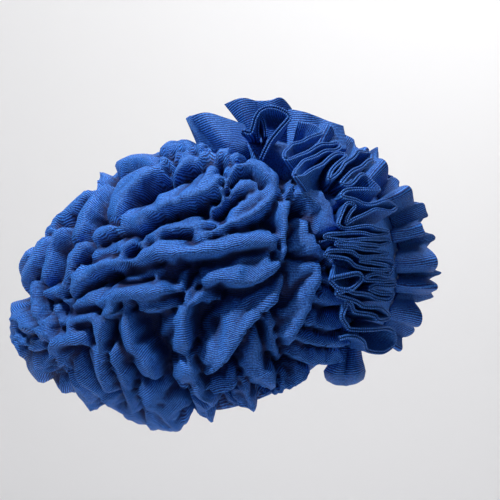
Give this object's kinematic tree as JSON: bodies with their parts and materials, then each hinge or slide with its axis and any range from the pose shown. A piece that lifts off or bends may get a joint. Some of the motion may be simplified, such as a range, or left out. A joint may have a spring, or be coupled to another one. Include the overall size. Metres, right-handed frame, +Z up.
{
  "type": "gathered turban cap",
  "caption": "Soft cap whose cloth is gathered into deep folds that hang to one side, with a crest of standing ruffles over the other side.",
  "frame": {"origin": "centre of the head opening, where the cap sits on the head", "axes": "+Z up, +Y towards the wearer's forehead, +X towards the wearer's right ear and the ruffled crest"},
  "size_m": [0.362, 0.285, 0.2726],
  "materials": {
    "crown_cloth": "soft fine-ribbed knit, royal blue",
    "ruffle_cloth": "the same knit, folded double"
  },
  "bodies": {
    "root": {"crown": "crown_cloth", "ruffle_row_1": "ruffle_cloth", "ruffle_row_2": "ruffle_cloth", "ruffle_row_3": "ruffle_cloth", "ruffle_row_4": "ruffle_cloth", "ruffle_tail": "ruffle_cloth", "crest_leaf_left": "ruffle_cloth", "crest_leaf_top": "ruffle_cloth", "crest_leaf_back": "ruffle_cloth", "crest_loop": "ruffle_cloth"}
  },
  "joints": []
}
